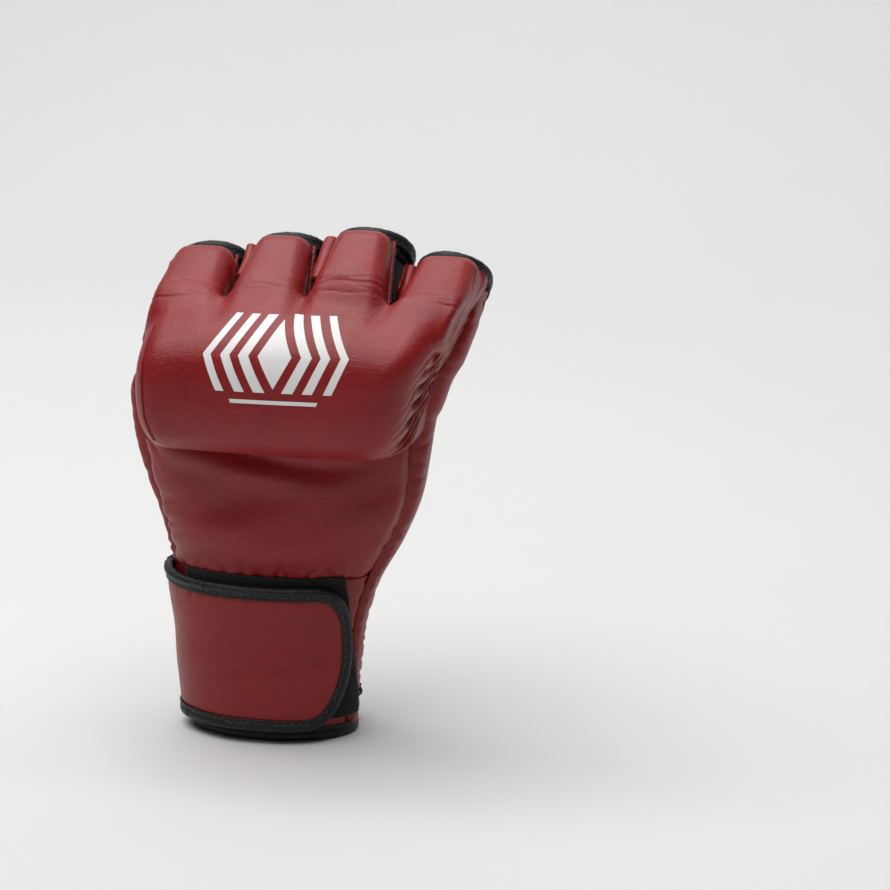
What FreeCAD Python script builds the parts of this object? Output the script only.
import FreeCAD, Part

import os

# Left-hand MMA glove: padded knuckle bar, four open finger tubes, thumb hole, open palm and a wrist strap.
# Frame: +Z runs from the cuff to the knuckles, -Y is the back of the hand, +Y the palm and +X the thumb side.
# The origin is on the floor plane, under the middle of the wrist. All lengths are millimetres.

doc = FreeCAD.newDocument("mma_glove")
doc.addObject("Spreadsheet::Sheet", "sizes")

# Driving dimensions. Each row: alias, value, what it is.
SIZES = [
    ("leather", 1.6, "thickness of the leather panels"),
    ("lining", 1.0, "thickness of the lining cloth"),
    ("tape_gap", 0.4, "play between the hook tape and the loop tape"),
    ("tape", 1.0, "thickness of the hook tape and of the loop tape"),
    ("strap_thick", 2.4, "strap leather, folded double"),
    ("binding_proud", 0.7, "how far an edge binding stands off the piece that it wraps"),
    ("binding_width", 5.5, "width of an edge binding"),
    ("dorsal_edge", -6.0, "Y of the seam between the back panels and the side gussets"),
    ("palm_edge", 4.0, "Y of the seam between the side gussets and the palm panels"),
    ("cuff_bottom", 5.0, "Z where the cuff leather ends and its binding begins"),
    ("cuff_top", 69.0, "Z of the seam between the cuff and the back of the hand"),
    ("pad_bottom", 125.0, "Z of the seam under the knuckle pad"),
    ("backing_top", 166.0, "Z of the top of the leather under the knuckle pad"),
    ("gusset_top", 160.0, "Z of the top of the side gussets"),
    ("palm_top", 154.0, "Z of the top of the two palm panels"),
    ("bridge_low", 152.0, "Z of the lower edge of the band across the palm"),
    ("bridge_high", 156.5, "Z of the upper edge of that band's leather"),
    ("strap_split", -15.0, "Y where the strap folds round the little-finger side of the wrist"),
    ("flap_fold_low", 9.0, "X of the lower end of the line where the strap's palm flap folds open"),
    ("flap_fold_high", -2.0, "X of the upper end of that line"),
    ("tip_split", 10.0, "X where the strap's rounded tip starts to peel"),
    ("split_gap", 0.7, "play at each fold of the strap"),
    ("tip_end", 39.5, "X of the end of the strap's tip"),
    ("strap_low", 5.0, "Z of the strap's lower edge on the back of the wrist"),
    ("strap_high", 68.0, "Z of the strap's upper edge on the back of the wrist"),
    ("row_middle", 22.5, "X of the middle of the row of fingers"),
    ("finger_pitch", 34.0, "distance from finger to finger"),
    ("tube_half_width", 15.8, "half the outer width of a finger tube"),
    ("tube_half_depth", 15.0, "half the outer depth of a finger tube"),
    ("tube_wall", 1.6, "wall of a finger tube"),
    ("tube_length", 34.5, "length of a finger tube, up to its binding"),
    ("tube_start", 6.0, "where a tube's back lining starts, measured along the tube"),
    ("loop_start", 17.0, "where a tube's palm loop starts, measured along the tube"),
    ("rim_length", 5.0, "length of the binding round a finger opening"),
    ("tube_tilt", 47.0, "how far the finger tubes lean from vertical towards the palm, degrees"),
    ("finger_pad_width", 33.0, "width of a finger pad at the knuckle"),
    ("finger_tip_width", 25.0, "width of a finger pad at the opening"),
    ("tab_radius", 1.7, "radius of the rolled tab between two fingers"),
    ("tab_length", 9.0, "length of that tab"),
    ("tab_place", 15.9, "distance of that tab from the middle of its finger"),
    ("label_side", 24.0, "side of the woven label"),
    ("label_thick", 0.8, "thickness of the woven label"),
]

# Cross-sections of the hand's outer skin, from the cuff to the knuckles: name, Z, X of the middle,
# half width, Y of the middle, half depth.
STATIONS = [
    ("rim", 0.0, 2.0, 34.5, 0.0, 23.5),
    ("wrist", 35.0, 2.0, 37.0, 0.0, 25.0),
    ("heel", 68.0, 4.0, 43.0, 0.0, 26.5),
    ("thumb", 97.0, 8.0, 53.5, 0.0, 28.0),
    ("palm", 130.0, 6.0, 60.0, 1.0, 29.0),
    ("knuckle", 160.0, 10.0, 62.0, 2.0, 29.0),
    ("crown", 180.0, 15.5, 63.0, 3.5, 27.5),
]

# The four fingers: name, place in the row counted from its middle, Y and Z of the foot of the finger tube.
FINGERS = [
    ("little", -1.5, -1.0, 163.5),
    ("ring", -0.5, -3.0, 169.0),
    ("middle", 0.5, -3.0, 172.5),
    ("index", 1.5, -1.0, 163.5),
]

# Outline of the open palm, as (X, Z), thumb side down to the strap, then up the little-finger side.
PALM_THUMB_SIDE = [(34.0, 152.0), (25.0, 138.0), (16.0, 118.0), (5.0, 90.0), (-3.0, 70.0)]
PALM_LITTLE_SIDE = [(-37.0, 66.0), (-36.0, 84.0), (-43.5, 108.0), (-45.5, 128.0), (-40.0, 143.0),
                    (-20.0, 151.0)]
PALM_MIDDLE = (-8.0, 125.0)

# Side view of the knuckle pad, as (Y, Z): its rounded front, from the lower lip to the finger crease.
PAD_FRONT = [(-36.0, 125.0), (-47.0, 129.0), (-52.0, 141.0), (-53.0, 155.0), (-49.5, 169.0), (-40.0, 179.0),
             (-19.0, 190.0)]
PAD_TOP_INNER = (-13.0, 179.6)
PAD_MIDDLE = (-32.0, 155.0)
FAR = 140.0  # half the size of the tool solids, larger than the glove

names = doc.getObject("sizes")
for row, (alias, value, note) in enumerate(SIZES, 1):
    names.set(f"A{row}", alias)
    names.set(f"B{row}", str(value))
    names.set(f"C{row}", note)
    names.setAlias(f"B{row}", alias)
for number, (station, height, middle_x, half_width, middle_y, half_depth) in enumerate(STATIONS):
    row = len(SIZES) + 2 + number
    columns = [("height", height), ("middle_x", middle_x), ("half_width", half_width), ("middle_y", middle_y),
               ("half_depth", half_depth)]
    names.set(f"A{row}", station)
    for column, (what, value) in zip("BCDEF", columns):
        names.set(f"{column}{row}", str(value))
        names.setAlias(f"{column}{row}", f"{station}_{what}")
for number, (finger, place, pivot_y, pivot_z) in enumerate(FINGERS):
    row = len(SIZES) + len(STATIONS) + 3 + number
    names.set(f"A{row}", finger)
    for column, what, value in (("B", "place", place), ("C", "pivot_y", pivot_y), ("D", "pivot_z", pivot_z)):
        names.set(f"{column}{row}", str(value))
        names.setAlias(f"{column}{row}", f"{finger}_{what}")
doc.recompute()


def size(alias):
    """The value of a cell of the sheet."""
    return float(names.get(alias))


def bind(obj, **expressions):
    """Binds properties to the sheet. A double underscore stands for a dot, as in Placement__Base__x."""
    for key, expression in expressions.items():
        obj.setExpression(key.replace("__", "."), str(expression).replace("@", "sizes."))


# --- small tools --------------------------------------------------------------------------------------------


def box(name, x0, x1, y0, y1, z0, z1):
    """A box between six planes, each a number or an expression of the sheet's cells."""
    made = doc.addObject("Part::Box", name)
    bind(made, Length=f"({x1}) - ({x0})", Width=f"({y1}) - ({y0})", Height=f"({z1}) - ({z0})",
         Placement__Base__x=x0, Placement__Base__y=y0, Placement__Base__z=z0)
    return made


def cut(name, base, tool):
    made = doc.addObject("Part::Cut", name)
    made.Base, made.Tool = base, tool
    return made


def common(name, first, second):
    made = doc.addObject("Part::Common", name)
    made.Base, made.Tool = first, second
    return made


def extrude(name, profile, direction, length):
    made = doc.addObject("Part::Extrusion", name)
    made.Base, made.Dir, made.Solid, made.Symmetric = profile, direction, True, False
    made.DirMode = "Custom"
    made.LengthFwd = length
    return made


def wire_feature(name, edges):
    made = doc.addObject("Part::Feature", name)
    made.Shape = Part.Wire(Part.__sortEdges__(edges))
    return made


def spline(points):
    curve = Part.BSplineCurve()
    curve.interpolate([FreeCAD.Vector(*p) for p in points])
    return curve.toShape()


def line(first, last):
    return Part.makeLine(FreeCAD.Vector(*first), FreeCAD.Vector(*last))


def pulled_in(points, middle, by):
    """The points, each moved towards the middle by a distance."""
    moved = []
    for a, b in points:
        away = ((a - middle[0]) ** 2 + (b - middle[1]) ** 2) ** 0.5
        moved.append((a + (middle[0] - a) * by / away, b + (middle[1] - b) * by / away))
    return moved


def polygon_prism(name, corners, y0, y1):
    """A prism along Y over a polygon of (X, Z) corners."""
    ring = [(x, y0, z) for x, z in corners]
    edges = [line(a, b) for a, b in zip(ring, ring[1:] + ring[:1])]
    return extrude(name, wire_feature(name + "_outline", edges), (0, 1, 0), y1 - y0)


SUBPARTS = []


def subpart(node, obj):
    """Marks an object as a separate piece of the glove, under its own name."""
    obj.Label = node
    SUBPARTS.append(obj)
    return obj


# --- the hand's skin ----------------------------------------------------------------------------------------


def skin(name, offset):
    """The solid inside the hand's outer skin, moved outwards by an expression of the sheet's cells."""
    sections = []
    for station, *_ in STATIONS:
        ring = doc.addObject("Part::Ellipse", f"{name}_{station}")
        bind(ring, MajorRadius=f"@{station}_half_width + {offset}",
             MinorRadius=f"@{station}_half_depth + {offset}",
             Placement__Base__x=f"@{station}_middle_x",
             Placement__Base__y=f"@{station}_middle_y",
             Placement__Base__z=f"@{station}_height")
        sections.append(ring)
    made = doc.addObject("Part::Loft", name)
    made.Sections, made.Solid, made.Ruled = sections, True, False
    return made


outer_skin = skin("outer_skin", "0")
under_leather = skin("under_leather", "(-@leather)")
inner_skin = skin("inner_skin", "(-@leather - @lining)")
loop_skin = skin("loop_skin", "@tape")
hook_inside = skin("hook_inside", "@tape + @tape_gap")
strap_inside = skin("strap_inside", "@tape * 2 + @tape_gap")
strap_outside = skin("strap_outside", "@tape * 2 + @tape_gap + @strap_thick")
strap_binding_outside = skin("strap_binding_outside", "@tape * 2 + @tape_gap + @strap_thick + @binding_proud")
label_outside = skin("label_outside", "@tape * 2 + @tape_gap + @strap_thick + @label_thick")
binding_outside = skin("binding_outside", "@binding_proud")

leather_layer = cut("leather_layer", outer_skin, under_leather)
lining_layer = cut("lining_layer", under_leather, inner_skin)
binding_layer = cut("binding_layer", binding_outside, inner_skin)
loop_layer = cut("loop_layer", loop_skin, outer_skin)
hook_layer = cut("hook_layer", strap_inside, hook_inside)
strap_layer = cut("strap_layer", strap_outside, strap_inside)
strap_binding_layer = cut("strap_binding_layer", strap_binding_outside, strap_inside)
label_layer = cut("label_layer", label_outside, strap_outside)

# --- back of the hand and side gussets ----------------------------------------------------------------------

back_side = box("back_side", -FAR, FAR, -FAR, "@dorsal_edge", "@cuff_bottom", "@cuff_top")
subpart("cuff_back", common("cuff_back", leather_layer, back_side))
hand_side = box("hand_side", -FAR, FAR, -FAR, "@dorsal_edge", "@cuff_top", "@pad_bottom")
subpart("back_panel", common("back_panel", leather_layer, hand_side))
backing_side = box("backing_side", -FAR, FAR, -FAR, "@dorsal_edge", "@pad_bottom", "@backing_top")
subpart("knuckle_backing", common("knuckle_backing", leather_layer, backing_side))
thumb_strip = box("thumb_strip", 0, FAR, "@dorsal_edge", "@palm_edge", "@cuff_bottom", "@gusset_top")
subpart("thumb_side_gusset", common("thumb_side_gusset", leather_layer, thumb_strip))
little_strip = box("little_strip", -FAR, 0, "@dorsal_edge", "@palm_edge", "@cuff_bottom", "@gusset_top")
subpart("little_side_gusset", common("little_side_gusset", leather_layer, little_strip))
lining_side = box("lining_side", -FAR, FAR, -FAR, "@palm_edge", "@cuff_bottom", "@gusset_top")
subpart("hand_lining", common("hand_lining", lining_layer, lining_side))

# --- palm side ----------------------------------------------------------------------------------------------

SEAM_FOOT = (32.0, 0.0)  # (X, Z) of the slanting seam that joins the strap to the heel of the thumb
SEAM_HEAD = (-3.0, 75.0)


def palm_prism(name, inset):
    """A prism along Y through the open palm, its outline pulled in by a distance."""
    thumb = pulled_in(PALM_THUMB_SIDE, PALM_MIDDLE, inset)
    little = pulled_in(PALM_LITTLE_SIDE, PALM_MIDDLE, inset) + [thumb[0]]
    thumb_edge = spline([(x, 0, z) for x, z in thumb])
    strap_edge = line((thumb[-1][0], 0, thumb[-1][1]), (little[0][0], 0, little[0][1]))
    little_edge = spline([(x, 0, z) for x, z in little])
    edges = [thumb_edge, strap_edge, little_edge]
    return extrude(name, wire_feature(name + "_outline", edges), (0, 1, 0), FAR)


palm_opening = palm_prism("palm_opening", 0.0)
palm_opening_inside = palm_prism("palm_opening_inside", size("binding_width"))
open_wrist = polygon_prism("open_wrist", [(-FAR, -5), SEAM_FOOT, SEAM_HEAD, (-20, 78), (-FAR, 78)], 0, FAR)

palm_slab = box("palm_slab", -FAR, FAR, "@palm_edge", FAR, "@cuff_bottom", "@palm_top")
palm_leather = common("palm_leather", leather_layer, palm_slab)
palm_cut_open = cut("palm_cut_open", palm_leather, palm_opening)
palm_cut_wrist = cut("palm_cut_wrist", palm_cut_open, open_wrist)


def thumb_ellipse(name, grown):
    """An elliptic cylinder along Y through the thumb hole."""
    ring = doc.addObject("Part::Ellipse", name + "_outline")
    ring.MajorRadius, ring.MinorRadius = 28.0 + grown, 18.5 + grown
    turn = FreeCAD.Rotation(FreeCAD.Vector(0, 1, 0), -73) * FreeCAD.Rotation(FreeCAD.Vector(1, 0, 0), 90)
    ring.Placement = FreeCAD.Placement(FreeCAD.Vector(40, 0, 112), turn)
    return extrude(name, ring, (0, 1, 0), FAR)


thumb_hole = thumb_ellipse("thumb_hole", 0.0)
thumb_hole_rim_inside = thumb_ellipse("thumb_hole_rim_inside", -2.0)
palm_cut_thumb = cut("palm_cut_thumb", palm_cut_wrist, thumb_hole)
rim_band = cut("rim_band", thumb_hole, thumb_hole_rim_inside)
rim_slab = common("rim_slab", rim_band, palm_slab)
subpart("thumb_hole_rim", common("thumb_hole_rim", leather_layer, rim_slab))

THENAR = [(38, 160), (38, 151.5), (33, 151.5), (-6, 68), (-6, 0), (FAR, 0), (FAR, 160)]
thenar_side = polygon_prism("thenar_side", THENAR, 0, FAR)
subpart("thenar_panel", common("thenar_panel", palm_cut_thumb, thenar_side))
HYPOTHENAR = [(-38, 160), (-38, 140), (-33, 70), (-FAR, 70), (-FAR, 160)]
little_side = polygon_prism("little_side", HYPOTHENAR, 0, FAR)
subpart("hypothenar_panel", common("hypothenar_panel", palm_cut_thumb, little_side))
# The band's upper binding, as (X, Z): level under the middle fingers and lower under the little finger,
# so that the little finger's loop passes over it as it bends.
BRIDGE_BAND = [(-37.5, 149.5), (-37.5, 155.0), (-19.0, 155.5), (-12.0, 162.0), (37.5, 162.0), (37.5, 156.5),
               (-9.5, 156.5), (-16.5, 150.0)]
bridge_band = polygon_prism("bridge_band", BRIDGE_BAND, size("palm_edge"), FAR)
bridge_band_open = cut("bridge_band_open", bridge_band, palm_opening)
bridge_slab = box("bridge_slab", -15.5, 37.5, "@palm_edge", FAR, "@bridge_low", "@bridge_high")
bridge_slab_below = cut("bridge_slab_below", bridge_slab, bridge_band)
bridge_piece = common("bridge_piece", leather_layer, bridge_slab_below)
subpart("palm_bridge", cut("palm_bridge", bridge_piece, palm_opening))
subpart("bridge_binding", common("bridge_binding", binding_layer, bridge_band_open))

band_prism = cut("band_prism", palm_opening, palm_opening_inside)
band_slab = box("band_slab", -FAR, FAR, "@palm_edge + 0.5", FAR, 78.5, "@bridge_high")
band_prism_high = common("band_prism_high", band_prism, band_slab)
subpart("palm_opening_binding", common("palm_opening_binding", binding_layer, band_prism_high))

cuff_ring = box("cuff_ring", -FAR, FAR, -FAR, FAR, 0, "@cuff_bottom")
cuff_ring_layer = common("cuff_ring_layer", binding_layer, cuff_ring)
open_cuff = polygon_prism("open_cuff", [(-FAR, -5), (33, -5), (28, 8), (-FAR, 8)], 4, FAR)
subpart("cuff_binding", cut("cuff_binding", cuff_ring_layer, open_cuff))

# --- padded roll along the thumb side -----------------------------------------------------------------------

ROLL = [(72.0, 44.0, 11.0, 3.2, 3.0), (97.0, 57.5, 12.0, 6.0, 4.0), (130.0, 63.5, 13.0, 8.0, 5.0),
        (150.5, 68.5, 13.7, 8.3, 5.0)]  # Z, X, Y, radius along Y, radius along X
roll_rings = []
for number, (z, x, y, along_y, along_x) in enumerate(ROLL):
    ring = doc.addObject("Part::Ellipse", f"roll_ring_{number}")
    ring.MajorRadius, ring.MinorRadius = along_y, along_x
    ring.Placement = FreeCAD.Placement(FreeCAD.Vector(x, y, z), FreeCAD.Rotation(FreeCAD.Vector(0, 0, 1), 90))
    roll_rings.append(ring)
roll = doc.addObject("Part::Loft", "roll")
roll.Sections, roll.Solid = roll_rings, True
roll_outside = cut("roll_outside", roll, outer_skin)
roll_slab = box("roll_slab", 0, FAR, 2, FAR, 60, 170)
subpart("thumb_side_roll", common("thumb_side_roll", roll_outside, roll_slab))

# --- knuckle pad --------------------------------------------------------------------------------------------

PAD_FOOT, PAD_HEAD = (120.0, -41.5, 64.0), (196.0, -44.0, 82.0)  # Z, X of the little side, X of the thumb side
PAD_CORNER, PAD_REAR = 20.0, 0.5  # radius of the upright corners, and Y of the pad's rear edge


def plan_outline(name, z, x0, x1, inset):
    """A rectangle in plan with two rounded front corners."""
    left, right, front = x0 + inset, x1 - inset, -60.0
    r = PAD_CORNER
    depth = r * 0.2929
    corner_left = Part.Arc(FreeCAD.Vector(left, front + r, z),
                           FreeCAD.Vector(left + depth, front + depth, z),
                           FreeCAD.Vector(left + r, front, z)).toShape()
    corner_right = Part.Arc(FreeCAD.Vector(right - r, front, z),
                            FreeCAD.Vector(right - depth, front + depth, z),
                            FreeCAD.Vector(right, front + r, z)).toShape()
    edges = [corner_left, line((left + r, front, z), (right - r, front, z)), corner_right,
             line((right, front + r, z), (right, PAD_REAR, z)),
             line((right, PAD_REAR, z), (left, PAD_REAR, z)),
             line((left, PAD_REAR, z), (left, front + r, z))]
    return wire_feature(name, edges)


def pad_block(name, inset):
    """The knuckle pad's outer shape, less a skin of the given thickness, before the hand is cut out of it."""
    front = pulled_in(PAD_FRONT, PAD_MIDDLE, inset)
    inner = (PAD_TOP_INNER[0] - inset * 0.5, PAD_TOP_INNER[1] - inset)
    low = (inner[0], front[0][1])
    side = wire_feature(name + "_side", [spline([(-FAR, y, z) for y, z in front]),
                                         line((-FAR, *front[-1]), (-FAR, *inner)),
                                         line((-FAR, *inner), (-FAR, *low)),
                                         line((-FAR, *low), (-FAR, *front[0]))])
    across = extrude(name + "_across", side, (1, 0, 0), 2 * FAR)
    upright = doc.addObject("Part::Loft", name + "_upright")
    upright.Sections = [plan_outline(f"{name}_{where}", z, x0, x1, inset)
                        for where, (z, x0, x1) in (("foot", PAD_FOOT), ("head", PAD_HEAD))]
    upright.Solid, upright.Ruled = True, True
    return common(name, across, upright)


pad_outside = cut("pad_outside", pad_block("pad_block", 0.0), outer_skin)
foam_block = pad_block("foam_block", size("leather"))
knuckle_foam = subpart("knuckle_foam", cut("knuckle_foam", foam_block, outer_skin))
subpart("knuckle_pad_cover", cut("knuckle_pad_cover", pad_outside, knuckle_foam))

# --- fingers ------------------------------------------------------------------------------------------------


def finger_ring(name, grown, start, length):
    """An elliptic cylinder along the finger, in the finger's own frame: Z along it, -Y its back."""
    ring = doc.addObject("Part::Ellipse", name + "_outline")
    bind(ring, MajorRadius=f"@tube_half_width + {grown}", MinorRadius=f"@tube_half_depth + {grown}",
         Placement__Base__z=start)
    made = extrude(name, ring, (0, 0, 1), 1.0)
    bind(made, LengthFwd=length)
    return made


PAD_PLAY = 2.5  # room between the knuckle pad and a finger pad, so that the finger can bend


def finger_pad(name, inset):
    """The padding on the back of a finger: wide and thick at the knuckle, narrow and thin at the opening."""
    root, lid = size("tube_start") + PAD_PLAY + inset, size("tube_length") - 1.0 - inset
    sections = []
    for where, along, half, height in (("root", root, size("finger_pad_width") / 2, 26.0),
                                       ("tip", lid, size("finger_tip_width") / 2, 18.5)):
        corners = [(-half + inset, -height + inset), (half - inset, -height + inset), (half - inset, -8.0),
                   (-half + inset, -8.0)]
        ring = [(x, y, along) for x, y in corners]
        edges = [line(p, q) for p, q in zip(ring, ring[1:] + ring[:1])]
        sections.append(wire_feature(f"{name}_{where}", edges))
    block = doc.addObject("Part::Loft", name + "_block")
    block.Sections, block.Solid, block.Ruled = sections, True, True
    doc.recompute()
    outer_edges = []
    for number, edge in enumerate(block.Shape.Edges, 1):
        at_back = max(v.Y for v in edge.Vertexes) < -8.1
        at_root = max(v.Z for v in edge.Vertexes) < root + 0.1
        if at_back and not at_root:
            outer_edges.append(number)
    rounded = doc.addObject("Part::Fillet", name + "_rounded")
    rounded.Base = block
    rounded.Edges = [(number, 6.0 - inset, 6.0 - inset) for number in outer_edges]
    return rounded


tube_outside = finger_ring("tube_outside", 0, "@tube_start", "@tube_length - @tube_start")
tube_bore = finger_ring("tube_bore", "(-@tube_wall)", "@tube_start", "@tube_length - @tube_start")
tube_shell = cut("tube_shell", tube_outside, tube_bore)
back_half = box("back_half", -FAR, FAR, -FAR, -0.05, 0, FAR)
palm_half = box("palm_half", -FAR, FAR, 0.05, FAR, "@loop_start", FAR)
rim_outside = finger_ring("rim_outside", "@binding_proud", "@tube_length", "@rim_length")
rim_bore = finger_ring("rim_bore", "(-@tube_wall - @binding_proud)", "@tube_length", "@rim_length")
pad_core = cut("pad_core", finger_pad("finger_pad_outside", 0.0), tube_outside)
foam_core = cut("foam_core", finger_pad("finger_foam_outside", size("leather")), tube_outside)


def web_tab(name, radius):
    """A round bar beside a finger pad, on its little-finger side, parallel to the finger tube."""
    made = doc.addObject("Part::Cylinder", name)
    bind(made, Radius=radius, Height="@tab_length", Placement__Base__x="-@tab_place", Placement__Base__y=-13.0,
         Placement__Base__z="@tube_length - 1 - @tab_length")
    return made


tab_outside = web_tab("tab_outside", "@tab_radius")
tab_bore = web_tab("tab_bore", "@tab_radius - 0.6")
FINGER_PIECES = {
    "back_lining": common("finger_back_lining", tube_shell, back_half),
    "palm_loop": common("finger_palm_loop", tube_shell, palm_half),
    "rim_binding": cut("finger_rim_binding", rim_outside, rim_bore),
    "pad_foam": foam_core,
    "pad_cover": cut("finger_pad_cover", pad_core, foam_core),
    "web_tab": cut("finger_web_tab", tab_outside, tab_bore),
}

for finger, *_ in FINGERS:
    for piece, master in FINGER_PIECES.items():
        if (finger, piece) == ("little", "web_tab"):
            continue  # there is no neighbour on the little finger's outer side
        made = doc.addObject("Part::Compound", f"{finger}_{piece}")
        made.Links = [master]
        made.Placement.Rotation = FreeCAD.Rotation(FreeCAD.Vector(1, 0, 0), -size("tube_tilt"))
        bind(made, Placement__Base__x=f"@row_middle + @{finger}_place * @finger_pitch",
             Placement__Base__y=f"@{finger}_pivot_y", Placement__Base__z=f"@{finger}_pivot_z")
        subpart(f"{finger}_finger_{piece}", made)

# --- wrist strap --------------------------------------------------------------------------------------------

loop_block = box("loop_block", -30, 41, -FAR, "@dorsal_edge - 2", 9, "@cuff_top + 1.5")
subpart("loop_tape", common("loop_tape", loop_layer, loop_block))

# Strap outlines as (X, Z). The palm part rises towards the slanting seam; the back part is level.
PALM_STRAP = [(-FAR, 5.0), (-30.0, 7.0), (40.0, 9.5), (10.0, 76.0), (-25.0, 74.0), (-FAR, 68.0)]
WIDTH = size("binding_width")
PALM_STRAP_INSIDE = [(-FAR, 5.0 + WIDTH), (-30.0, 7.0 + WIDTH), (40.0, 9.5 + WIDTH), (10.0, 76.0 - WIDTH),
                     (-25.0, 74.0 - WIDTH), (-FAR, 68.0 - WIDTH)]
palm_strap_y = size("strap_split") + size("split_gap")
palm_strap_all = polygon_prism("palm_strap_all", PALM_STRAP, palm_strap_y, FAR)
palm_strap_leather = polygon_prism("palm_strap_leather", PALM_STRAP_INSIDE, palm_strap_y, FAR)
beyond_seam = polygon_prism("beyond_seam", [(27.7, 8.0), (-3.7, 77.0), (FAR, 77.0), (FAR, 8.0)], -FAR, FAR)
palm_strap_piece = common("palm_strap_piece", strap_layer, palm_strap_leather)
palm_strap_sewn = cut("palm_strap_sewn", palm_strap_piece, beyond_seam)
palm_strap_edges = cut("palm_strap_edges", palm_strap_all, palm_strap_leather)
palm_strap_band = common("palm_strap_band", strap_binding_layer, palm_strap_edges)
palm_binding_sewn = cut("palm_binding_sewn", palm_strap_band, beyond_seam)


def fold_side(name, shift, away):
    """A prism along Y over everything on one side of the flap's fold line."""
    slope = (size("flap_fold_high") - size("flap_fold_low")) / (size("strap_high") - size("strap_low"))
    low = size("flap_fold_low") - slope * size("strap_low") + shift
    high = low + slope * 90.0
    return polygon_prism(name, [(away, 0.0), (low, 0.0), (high, 90.0), (away, 90.0)], -FAR, FAR)


root_side = fold_side("root_side", size("split_gap") / 2, FAR)
flap_side = fold_side("flap_side", -size("split_gap") / 2, -FAR)
subpart("strap_root_leather", common("strap_root_leather", palm_strap_sewn, root_side))
subpart("strap_root_binding", common("strap_root_binding", palm_binding_sewn, root_side))
subpart("strap_palm_leather", common("strap_palm_leather", palm_strap_sewn, flap_side))
subpart("strap_palm_binding", common("strap_palm_binding", palm_binding_sewn, flap_side))

back_strap_all = box("back_strap_all", -FAR, "@tip_split - @split_gap", -FAR, "@strap_split", "@strap_low",
                     "@strap_high")
back_strap_leather = box("back_strap_leather", -FAR, "@tip_split - @split_gap", -FAR, "@strap_split",
                         "@strap_low + @binding_width", "@strap_high - @binding_width")
subpart("strap_back_leather", common("strap_back_leather", strap_layer, back_strap_leather))
back_strap_edges = cut("back_strap_edges", back_strap_all, back_strap_leather)
subpart("strap_back_binding", common("strap_back_binding", strap_binding_layer, back_strap_edges))
back_hooks = box("back_hooks", -24, "@tip_split - @split_gap", -FAR, "@strap_split", 14, 60)
subpart("hook_tape_back", common("hook_tape_back", hook_layer, back_hooks))


def tip_prism(name, inset):
    """A prism along Y over the strap's rounded tip."""
    low, high = size("strap_low") + inset, size("strap_high") - inset
    start, end = size("tip_split"), size("tip_end") - inset * 0.55
    corner = end - 17.0
    y = -FAR
    arc = Part.Arc(FreeCAD.Vector(corner, y, low), FreeCAD.Vector(end, y, (low + high) / 2),
                   FreeCAD.Vector(corner, y, high)).toShape()
    edges = [line((start, y, low), (corner, y, low)), arc, line((corner, y, high), (start, y, high)),
             line((start, y, high), (start, y, low))]
    return extrude(name, wire_feature(name + "_outline", edges), (0, 1, 0), FAR - 0.5)


tip_all = tip_prism("tip_all", 0.0)
tip_inside = tip_prism("tip_inside", size("binding_width"))
subpart("strap_tip_leather", common("strap_tip_leather", strap_layer, tip_inside))
tip_edges = cut("tip_edges", tip_all, tip_inside)
subpart("strap_tip_binding", common("strap_tip_binding", strap_binding_layer, tip_edges))
tip_hooks = box("tip_hooks", "@tip_split", 33, -FAR, 0, 14, 60)
subpart("hook_tape_tip", common("hook_tape_tip", hook_layer, tip_hooks))

label_block = box("label_block", "-27", "-27 + @label_side", 0, FAR, "27", "27 + @label_side")
subpart("woven_label", common("woven_label", label_layer, label_block))

# --- check and write ----------------------------------------------------------------------------------------

doc.recompute()
failed = [o.Name for o in doc.Objects if "Invalid" in o.State or "Error" in o.State]
bad = [o.Label for o in SUBPARTS if o.Shape.isNull() or not o.Shape.isValid() or not o.Shape.Solids]
if failed or bad:
    raise SystemExit(f"failed objects: {failed}; sub-parts with no valid solid: {bad}")
os.makedirs("parts", exist_ok=True)
for obj in SUBPARTS:
    obj.Shape.exportStep(f"parts/{obj.Label}.step")
    print(f"{obj.Label:28s} {len(obj.Shape.Solids)} solid(s) {obj.Shape.Volume / 1000:8.2f} cm3")
